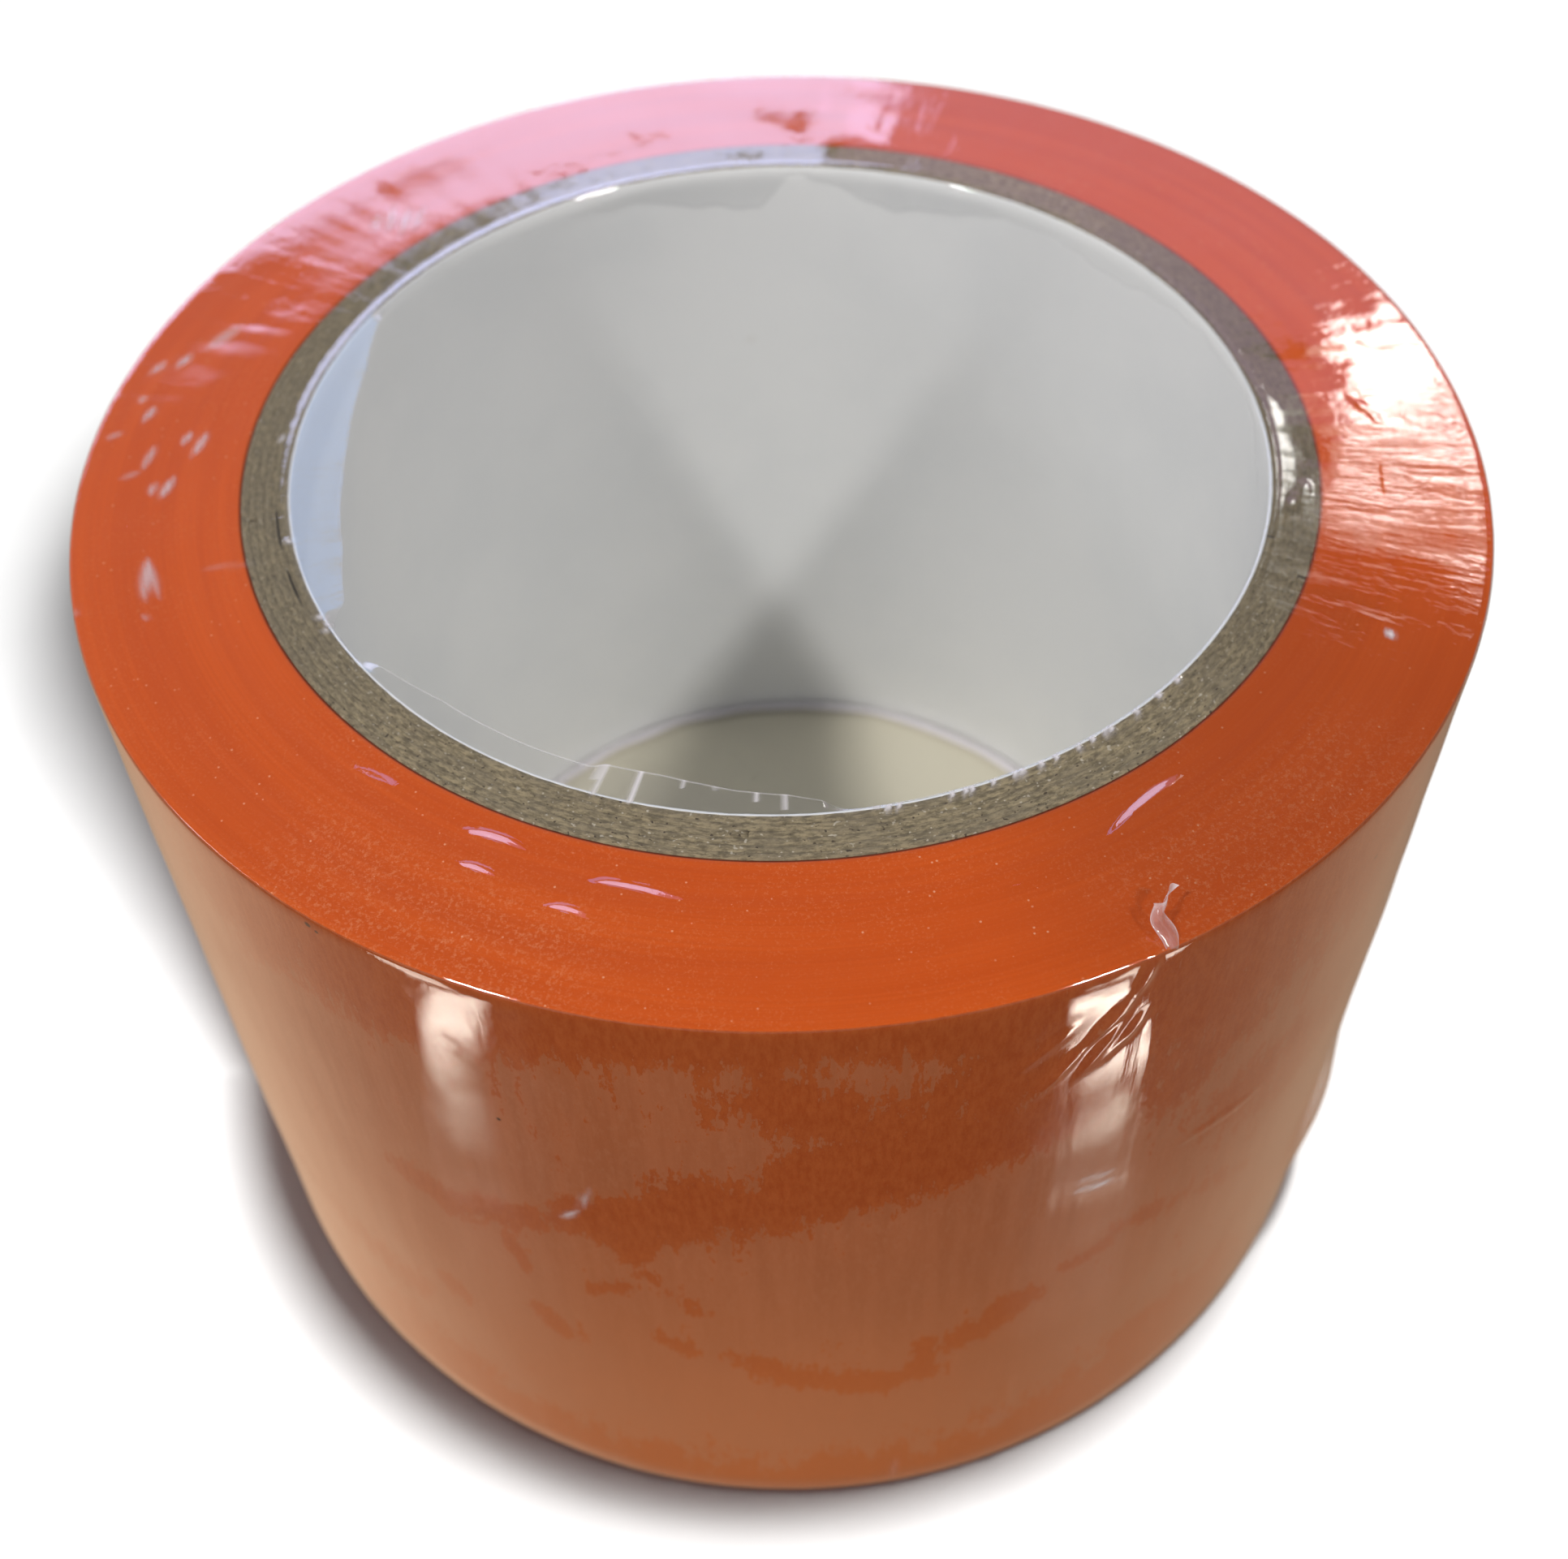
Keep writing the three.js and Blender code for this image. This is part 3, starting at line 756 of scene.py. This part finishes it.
def film_relief(points, azimuth, profile, zones):
    """How far the film stands off its nominal surface, outwards."""
    radius, height = profile.T
    relief = 0.020 * waves(azimuth, height + radius, 31, 24, 24, 9)
    relief = relief + 0.006 * waves(azimuth, 0.2 * (height + radius), 32, 30, 150, 4)
    for start, stop, width, rise in TOP_CREASES:
        relief = relief + crease(points, on_top(*start), on_top(*stop), width, rise)
    for start, stop, width, rise in WALL_CREASES:
        relief = relief + crease(points, on_wall(*start), on_wall(*stop), width, rise)
    for turn in RIM_BEADS:
        relief = relief + crease(points, *rim_bead(turn), 0.25, 0.20)
    # On the right the film steps down from the bore's rim along a wavy line.
    middle = BORE + 0.65 + 0.040 * (12 - azimuth) + 0.15 * np.sin(0.8 * azimuth)
    stretch = np.exp(-(((azimuth + 1) / 14) ** 4))
    step_width = 0.65
    relief = relief - 0.052 * step_width * stretch * np.tanh((radius - middle) / step_width)
    # The wall's film is slack about half way up.
    slack_wall = np.exp(-(((height - 38) / 26) ** 2)) * (zones == "wall")
    relief = relief + slack_wall * (0.12 + 0.06 * waves(azimuth, height, 33, 14, 14, 24))
    return np.maximum(relief, -0.04)


def shrink_film():
    """The sleeve: one sheet over both end faces and the wall, with a lip at each end of the bore."""
    azimuth = around(650, crowds=((-85, 30), (-1, 9), (178, 14)))[:, None]
    profile, normals, zones = film_profile()
    radius, height = profile.T
    inner, high = BORE - SLACK, TOP + SLACK
    x, y = circle(azimuth)
    points = np.stack([radius * x, radius * y, height + 0 * azimuth], axis=-1)
    out = film_relief(points, azimuth, profile, zones)
    # Where the upper lip turns down it lies against the liner, and ends at a wavering depth. The lower lip is
    # nearly level, and is seen through the bore.
    lip = zones == "upper_lip"
    down = np.where(lip, np.clip((high - 0.5 - height) / (LIP - 0.5), 0, 1), 0)
    depth = np.interp(azimuth, *np.array(LIP_DEPTHS).T) + 0.25 * waves(azimuth, 0 * azimuth, 41, 18, 90, 1)
    drop = down * (np.maximum(depth, 0.5) - LIP)
    lean = down * (0.07 + 0.05 * waves(azimuth, 0 * azimuth, 42, 12, 60, 1))
    low_lip = zones == "lower_lip"
    low_reach = 1.5 + 0.2 * waves(azimuth, 0 * azimuth, 44, 12, 30, 1)
    inward = np.where(low_lip, (height - BOTTOM) / LIP, 0) * low_reach
    spread = radius + normals[:, 0] * (out + np.maximum(lean, 0)) - inward
    level = np.where(low_lip, BOTTOM + 0.45 + 0.1 * inward, height + normals[:, 1] * out - drop)
    # All but the back of the rim is bent more tightly than the profile.
    bead = zones == "bead"
    tight_radius = 0.12
    # In degrees from the middle of that stretch, which is at azimuth -30.
    off_middle = np.abs((azimuth + 30 + 180) % 360 - 180)
    tight = np.where(bead, np.clip((105 - off_middle) / 15, 0, 1), 0)
    spread = spread + tight * (inner + tight_radius + tight_radius * normals[:, 0] - spread)
    level = level + tight * (high - tight_radius + tight_radius * normals[:, 1] - level)
    # Where it stands out as a flap it droops a little, and at the near side it is level.
    bent = bead | lip
    share = np.where(bent, np.cumsum(bent) / bent.sum(), 0)
    reach = np.interp(azimuth, *np.array(FLAP_REACHES).T)
    flat = np.where(bent, np.clip(reach / 0.8, 0, 1), 0)
    nearer = np.where(azimuth < 90, np.clip((azimuth + 150) / 4, 0, 1), 0) * flat
    droop = 0.1 * reach * (1 - nearer)
    flap_radius = inner + FLAP_ROOT - share * (reach + FLAP_ROOT)
    flap_height = high + 0.10 + share * (0.04 * waves(azimuth, 0 * azimuth, 43, 10, 40, 1) - droop)
    spread = spread + flat * (flap_radius - spread)
    level = level + flat * (flap_height - level)
    piece = ring_mesh("shrink_film_sleeve", np.stack([spread * x, spread * y, level], axis=-1), closed=False)
    # Whitened: the upper lip's cut edge; painted highlights on the flap's folds, on folds and blisters
    # elsewhere, and as a pale band on the lower lip; a painted sheen on the flap.
    cut_edge = np.zeros(len(radius))
    cut_edge[-1] = 1
    haze = cut_edge * (0.10 + 0.35 * nearer) + 0.03 * nearer + 0.11 * (flat - nearer) + painted_glints(points)
    for fold, width, start, strength in FLAP_FOLD_GLINTS:
        haze = haze + strength * np.exp(-(((azimuth - fold) / width) ** 2)) * bent * (share >= start)
    # Painted highlight: a pale band along the lower lip.
    haze = haze + 0.85 * low_lip
    point_value(piece, "haze", np.minimum(haze, 0.9))
    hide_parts("shrink_film")
    return dress(piece, "clear_film")


def film_ear():
    """The pinched ear: a leaf of slack film that stands on the rim, leans in and curls over at its tip."""
    x, y = circle(EAR)
    outward = np.array([x, y, 0.0])
    sideways = np.array([-y, x, 0.0])
    rise = np.linspace(0, 1, 30)[:, None]
    across = np.linspace(-1, 1, 15)[None, :]
    width = 0.4 + 0.6 * rise ** 2 + 0.2 * np.sin(7 * rise)
    lean = -2.4 * rise - 0.4 * np.sin(3 * rise)
    fold = 0.35 * np.sin(2.6 * across + 3 * rise) * (0.4 + rise)
    height = TOP + 2.6 * rise - 0.4 * rise ** 3 - 0.25 * (across ** 2) * rise
    sway = 0.9 * rise ** 3 + 0.15 * np.sin(9 * rise)
    points = (TAPE * outward + (lean + fold)[..., None] * outward
              + (across * width + sway)[..., None] * sideways)
    points[..., 2] = height + 0.1 * np.sin(5 * across + 6 * rise)
    rows, columns = points.shape[:2]
    index = np.arange(rows * columns).reshape(rows, columns)
    quads = np.stack([index[:-1, :-1], index[:-1, 1:], index[1:, 1:], index[1:, :-1]], axis=-1)
    piece = mesh_piece("shrink_film_ear", points.reshape(-1, 3), quads.reshape(-1, 4))
    # Whitened a little all over and more at its side edges; the strong whitening at its tip is a painted
    # highlight.
    point_value(piece, "haze", 0.12 + 0.30 * np.abs(across) ** 6 * np.ones_like(rise) + 0.4 * rise ** 6)
    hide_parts("shrink_film")
    return dress(piece, "clear_film")


# Stage, light and camera

def stage_surface(name, corners, colour):
    """A flat, faintly mottled surface under the roll."""
    ground = mesh_piece(name, corners, [list(range(len(corners)))])
    n = Nodes(name)
    mottle = n.noise(n.stretch(1, 1, 1), scale=90, detail=4)
    darker = [0.94 * part for part in colour]
    tint = n.mix(mottle, (*darker, 1), (*colour, 1))
    shader = n.principled(Base_Color=tint, Roughness=0.9, Specular_IOR_Level=0.1)
    ground.data.materials.append(n.finish(shader))
    ground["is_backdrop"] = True
    return ground


def floor(name, split, side):
    """Half of the floor: it lies towards azimuth side of a line through the axis at azimuth split.

    The roll neither mirrors it nor gets light or shadow from it."""
    far = 4000
    depth = -0.3  # just under the roll
    along = far * np.array(circle(split))
    away = far * np.array(circle(side))
    corners = [(*corner, depth) for corner in (along, along + away, away - along, -along)]
    ground = stage_surface(name, corners, (0.42, 0.42, 0.418))
    ground.visible_glossy = False
    ground.visible_diffuse = False
    ground.visible_shadow = False
    return ground


def table_in_bore():
    """The cream table top that is seen through the bore."""
    depth = -0.02  # just under the roll, above the floor
    corners = [(CORE * x, CORE * y, depth) for x, y in zip(*circle(around(96)))]
    return stage_surface("table_in_bore", corners, (0.66, 0.62, 0.50))


def direction(azimuth, elevation):
    """The unit vector from the roll towards an azimuth and elevation."""
    turn, rise = math.radians(azimuth), math.radians(elevation)
    return Vector((math.cos(turn) * math.cos(rise), math.sin(turn) * math.cos(rise), math.sin(rise)))


LAMPS = {  # azimuth, elevation, width and height in degrees, radiance, colour, what it is for
    "key_left": (-145, 53, 4.4, 4.4, 318, (1.0, 0.985, 0.96), "roll"),
    "key_right": (-40, 48, 4.4, 4.4, 240, (1.0, 0.985, 0.96), "roll"),
    "window_left": (184, 24, 12, 14, 4, (0.92, 0.96, 1.0), "roll"),
    "window_bore": (75, 58, 12, 12, 9, (0.12, 0.42, 1.0), "bore"),
    "front_fill": (-88, -20, 70, 50, 1.0, (1.0, 0.95, 0.88), "unmirrored"),
    "lamp_back": (64.9, 36.3, 5.2, 3.4, 14, (1.0, 1.0, 0.93), "mirrored"),
    "lamp_back_glow": (64.8, 39.7, 6.5, 3.6, 2.1, (1.0, 1.0, 0.93), "mirrored"),
    "window_back": (107.0, 20, 38, 26, 4.7, (0.61, 0.656, 1.0), "mirrored"),
    "window_flap": (99.4, 41.2, 8, 8, 2.4, (0.15, 0.45, 1.0), "mirrored"),
    "wall_back": (70, 30, 30, 16, 0.75, (0.9, 0.55, 1.0), "mirrored"),
    "glint_left": (-152.6, -55.5, 6.5, 0.9, 9.0, (1.0, 0.93, 0.80), "mirrored"),
    "glint_left_rim": (-153, -48.5, 7, 9, 3.0, (1.0, 0.93, 0.80), "mirrored"),
    "glint_left_tail": (-152, -60, 14, 7, 0.06, (1.0, 0.93, 0.80), "mirrored"),
    "glint_right": (-32.4, -56.0, 7, 1.5, 9.0, (1.0, 0.93, 0.80), "mirrored"),
    "glint_right_rim": (-31, -48.5, 7, 9, 4.0, (1.0, 0.93, 0.80), "mirrored"),
    "glint_right_mid": (-31, -58.4, 6, 1.6, 1.6, (1.0, 0.93, 0.80), "mirrored"),
    "glint_right_tail": (-30, -62, 12, 7, 0.08, (1.0, 0.93, 0.80), "mirrored"),
    "floor_back": (-59, 43.5, 7.5, 7.5, 722, (1.0, 1.0, 1.0), "floor_back"),
    "floor_front": (33, 87.1, 4.4, 4.4, 1500, (1.0, 1.0, 1.0), "floor_front"),
}
LAMP_DISTANCE = 5.0  # metres, from the middle of the roll's top


def lamp(name, azimuth, elevation, width, height, radiance, colour, purpose, receivers):
    """A rectangular panel that faces the roll, sized by the angle it fills as seen from there."""
    light = bpy.data.lights.new(name, "AREA")
    light.shape = "RECTANGLE"
    light.size = 2 * LAMP_DISTANCE * math.tan(math.radians(width / 2))
    light.size_y = 2 * LAMP_DISTANCE * math.tan(math.radians(height / 2))
    light.energy = radiance * math.pi * light.size * light.size_y
    light.color = colour
    holder = bpy.data.objects.new(name, light)
    towards = direction(azimuth, elevation)
    holder.location = Vector((0, 0, TOP * MM)) + towards * LAMP_DISTANCE
    holder.rotation_mode = "QUATERNION"
    holder.rotation_quaternion = towards.to_track_quat("Z", "Y")
    holder.visible_diffuse = purpose != "mirrored"
    holder.visible_glossy = purpose != "unmirrored"
    holder.light_linking.receiver_collection = receivers
    bpy.context.scene.collection.objects.link(holder)


def lights(front, back, pieces, liner):
    """Each lamp lights only the group that its purpose names.

    Each half of the floor has a lamp of its own, so that its shadow stays close to the roll."""
    groups = {}
    lit = {"floor_front": [front], "floor_back": [back], "roll": pieces, "bore": [liner]}
    for name, members in lit.items():
        groups[name] = bpy.data.collections.new("lit_" + name)
        for member in members:
            groups[name].objects.link(member)
    groups["mirrored"] = groups["unmirrored"] = groups["roll"]
    for name, (*values, purpose) in LAMPS.items():
        lamp(name, *values, purpose, groups[purpose])


def sky():
    """Dim surroundings, and below the horizon the table top that the roll's wall mirrors."""
    world = bpy.data.worlds.new("studio")
    bpy.context.scene.world = world
    world.use_nodes = True
    tree = world.node_tree
    tree.nodes.clear()
    place = tree.nodes.new("ShaderNodeTexCoord")
    axes = tree.nodes.new("ShaderNodeSeparateXYZ")
    tree.links.new(place.outputs["Generated"], axes.inputs[0])

    def step(axis, low, high, first, last):
        node = tree.nodes.new("ShaderNodeMapRange")
        node.interpolation_type = "SMOOTHSTEP"
        tree.links.new(axes.outputs[axis], node.inputs[0])
        for socket, value in zip(node.inputs[1:], (low, high, first, last)):
            socket.default_value = value
        return node.outputs[0]

    def times(first, second):
        node = tree.nodes.new("ShaderNodeMath")
        node.operation = "MULTIPLY"
        tree.links.new(first, node.inputs[0])
        tree.links.new(second, node.inputs[1])
        return node.outputs[0]

    def background(colour, strength):
        node = tree.nodes.new("ShaderNodeBackground")
        node.inputs["Color"].default_value = (*colour, 1)
        tree.links.new(strength, node.inputs["Strength"])
        return node.outputs[0]

    # Z is the rise of a direction, Y its part away from the viewer and X its part to the right.
    low_glow = times(step("Z", 0.26, 0.67, 4.0, 1.0), step("X", -0.9, 0.2, 2.0, 1.0))
    above = background((0.95, 0.92, 1.0), times(step("Y", -0.35, 0.35, 0.06, 0.05), low_glow))
    mirrored_table = times(step("Y", -0.40, 0.35, 0.05, 0.65), step("X", -0.2, 0.4, 1.0, 0.61))
    below = background((1.0, 0.65, 0.43), times(mirrored_table, step("Y", 0.38, 0.66, 1.0, 0.68)))
    mixed = tree.nodes.new("ShaderNodeMixShader")
    tree.links.new(step("Z", -0.06, 0.06, 0.0, 1.0), mixed.inputs[0])
    tree.links.new(below, mixed.inputs[1])
    tree.links.new(above, mixed.inputs[2])
    output = tree.nodes.new("ShaderNodeOutputWorld")
    tree.links.new(mixed.outputs[0], output.inputs["Surface"])


def camera():
    """A wide lens close above the near side, tilted a little, as fitted to the photo's circles."""
    distance, elevation = 148.96, 40.18  # from the middle of the roll's top
    pitch, roll = 46.6, -1.41
    lens = bpy.data.cameras.new("camera")
    lens.sensor_width = 36
    lens.lens = 43.06
    lens.shift_y = -0.0864
    lens.clip_start = 0.01
    lens.dof.use_dof = True
    lens.dof.focus_distance = 0.118
    lens.dof.aperture_fstop = 32
    holder = bpy.data.objects.new("camera", lens)
    rise = math.radians(elevation)
    holder.location = Vector((0, -distance * math.cos(rise), TOP + distance * math.sin(rise))) * MM
    tilt = Matrix.Rotation(math.radians(90 - pitch), 4, "X") @ Matrix.Rotation(math.radians(roll), 4, "Z")
    holder.rotation_euler = tilt.to_euler()
    bpy.context.scene.collection.objects.link(holder)
    bpy.context.scene.camera = holder
    bpy.context.scene.view_settings.view_transform = "Standard"


MATERIALS = {
    "white_paper": white_paper(),
    "kraft_board": kraft_board(),
    "orange_tape": orange_tape(),
    "clear_film": clear_film(),
}
core_liner = paper_core()
wound_tape()
shrink_film()
film_ear()
bore_table = table_in_bore()
front_floor = floor("floor_front", FLOOR_SPLIT, FLOOR_SPLIT + 90)
back_floor = floor("floor_back", FLOOR_SPLIT + 180, FLOOR_SPLIT - 90)
lights(front_floor, back_floor, [*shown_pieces(), bore_table], core_liner)
sky()
camera()
